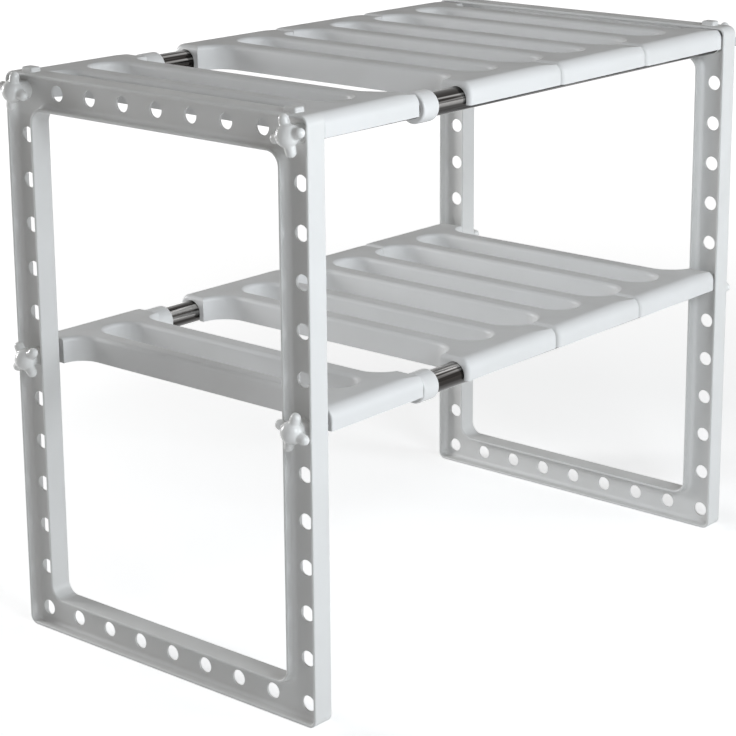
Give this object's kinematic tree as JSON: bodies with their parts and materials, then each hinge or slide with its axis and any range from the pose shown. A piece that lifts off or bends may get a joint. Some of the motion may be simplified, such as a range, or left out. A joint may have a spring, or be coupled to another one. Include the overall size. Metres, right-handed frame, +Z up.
{
  "type": "under-sink organizer",
  "caption": "Two-tier rack that draws out in width, with slotted shelf panels clipped on telescopic steel poles between two perforated side frames, fixed by star knobs.",
  "frame": {"origin": "on the floor, in the middle of the rack's width and depth", "axes": "+X from the left frame, which carries the inner tubes, to the right one; +Y from front to rear; +Z up"},
  "size_m": [0.485, 0.2664, 0.3872],
  "materials": {
    "frame_plastic": "satin moulded white",
    "panel_plastic": "satin moulded white",
    "knob_plastic": "glossy moulded white",
    "collar_plastic": "glossy moulded white",
    "plug_plastic": "moulded white",
    "sleeve_steel": "polished tube",
    "tube_chrome": "polished tube"
  },
  "bodies": {
    "left_side": {"left_frame": "frame_plastic", "upper_front_inner_tube": "tube_chrome", "left_upper_front_plug": "plug_plastic", "upper_rear_inner_tube": "tube_chrome", "left_upper_rear_plug": "plug_plastic", "lower_front_inner_tube": "tube_chrome", "left_lower_front_plug": "plug_plastic", "lower_rear_inner_tube": "tube_chrome", "left_lower_rear_plug": "plug_plastic"},
    "right_side": {"right_frame": "frame_plastic", "upper_front_sleeve": "sleeve_steel", "upper_front_collar": "collar_plastic", "right_upper_front_plug": "plug_plastic", "upper_rear_sleeve": "sleeve_steel", "upper_rear_collar": "collar_plastic", "right_upper_rear_plug": "plug_plastic", "lower_front_sleeve": "sleeve_steel", "lower_front_collar": "collar_plastic", "right_lower_front_plug": "plug_plastic", "lower_rear_sleeve": "sleeve_steel", "lower_rear_collar": "collar_plastic", "right_lower_rear_plug": "plug_plastic"},
    "left_upper_front_knob": {"left_upper_front_knob": "knob_plastic", "left_upper_front_stud": "knob_plastic"},
    "right_upper_front_knob": {"right_upper_front_knob": "knob_plastic", "right_upper_front_stud": "knob_plastic"},
    "left_upper_rear_knob": {"left_upper_rear_knob": "knob_plastic", "left_upper_rear_stud": "knob_plastic"},
    "right_upper_rear_knob": {"right_upper_rear_knob": "knob_plastic", "right_upper_rear_stud": "knob_plastic"},
    "upper_panel_1": {"upper_panel_1": "panel_plastic"},
    "upper_panel_2": {"upper_panel_2": "panel_plastic"},
    "upper_panel_3": {"upper_panel_3": "panel_plastic"},
    "upper_panel_4": {"upper_panel_4": "panel_plastic"},
    "left_lower_front_knob": {"left_lower_front_knob": "knob_plastic", "left_lower_front_stud": "knob_plastic"},
    "right_lower_front_knob": {"right_lower_front_knob": "knob_plastic", "right_lower_front_stud": "knob_plastic"},
    "left_lower_rear_knob": {"left_lower_rear_knob": "knob_plastic", "left_lower_rear_stud": "knob_plastic"},
    "right_lower_rear_knob": {"right_lower_rear_knob": "knob_plastic", "right_lower_rear_stud": "knob_plastic"},
    "lower_panel_1": {"lower_panel_1": "panel_plastic"},
    "lower_panel_2": {"lower_panel_2": "panel_plastic"},
    "lower_panel_3": {"lower_panel_3": "panel_plastic"},
    "lower_panel_4": {"lower_panel_4": "panel_plastic"}
  },
  "joints": [
    {"name": "width_extension", "type": "slide", "parent": "left_side", "child": "right_side", "axis": [1, 0, 0], "range_m": [0, 0.1]},
    {"name": "left_upper_front_knob_turn", "type": "hinge", "parent": "left_side", "child": "left_upper_front_knob", "pos_m": [-0.2242, -0.12, 0.372], "axis": [-1, 0, 0], "continuous": true},
    {"name": "right_upper_front_knob_turn", "type": "hinge", "parent": "right_side", "child": "right_upper_front_knob", "pos_m": [0.2242, -0.12, 0.372], "axis": [1, 0, 0], "continuous": true},
    {"name": "left_upper_rear_knob_turn", "type": "hinge", "parent": "left_side", "child": "left_upper_rear_knob", "pos_m": [-0.2242, 0.12, 0.372], "axis": [-1, 0, 0], "continuous": true},
    {"name": "right_upper_rear_knob_turn", "type": "hinge", "parent": "right_side", "child": "right_upper_rear_knob", "pos_m": [0.2242, 0.12, 0.372], "axis": [1, 0, 0], "continuous": true},
    {"name": "upper_panel_1_lift", "type": "slide", "parent": "left_side", "child": "upper_panel_1", "axis": [0, 0, 1], "range_m": [0, 0.06]},
    {"name": "upper_panel_2_lift", "type": "slide", "parent": "right_side", "child": "upper_panel_2", "axis": [0, 0, 1], "range_m": [0, 0.06]},
    {"name": "upper_panel_3_lift", "type": "slide", "parent": "right_side", "child": "upper_panel_3", "axis": [0, 0, 1], "range_m": [0, 0.06]},
    {"name": "upper_panel_4_lift", "type": "slide", "parent": "right_side", "child": "upper_panel_4", "axis": [0, 0, 1], "range_m": [0, 0.06]},
    {"name": "left_lower_front_knob_turn", "type": "hinge", "parent": "left_side", "child": "left_lower_front_knob", "pos_m": [-0.2242, -0.12, 0.192], "axis": [-1, 0, 0], "continuous": true},
    {"name": "right_lower_front_knob_turn", "type": "hinge", "parent": "right_side", "child": "right_lower_front_knob", "pos_m": [0.2242, -0.12, 0.192], "axis": [1, 0, 0], "continuous": true},
    {"name": "left_lower_rear_knob_turn", "type": "hinge", "parent": "left_side", "child": "left_lower_rear_knob", "pos_m": [-0.2242, 0.12, 0.192], "axis": [-1, 0, 0], "continuous": true},
    {"name": "right_lower_rear_knob_turn", "type": "hinge", "parent": "right_side", "child": "right_lower_rear_knob", "pos_m": [0.2242, 0.12, 0.192], "axis": [1, 0, 0], "continuous": true},
    {"name": "lower_panel_1_lift", "type": "slide", "parent": "left_side", "child": "lower_panel_1", "axis": [0, 0, 1], "range_m": [0, 0.06]},
    {"name": "lower_panel_2_lift", "type": "slide", "parent": "right_side", "child": "lower_panel_2", "axis": [0, 0, 1], "range_m": [0, 0.06]},
    {"name": "lower_panel_3_lift", "type": "slide", "parent": "right_side", "child": "lower_panel_3", "axis": [0, 0, 1], "range_m": [0, 0.06]},
    {"name": "lower_panel_4_lift", "type": "slide", "parent": "right_side", "child": "lower_panel_4", "axis": [0, 0, 1], "range_m": [0, 0.06]}
  ]
}
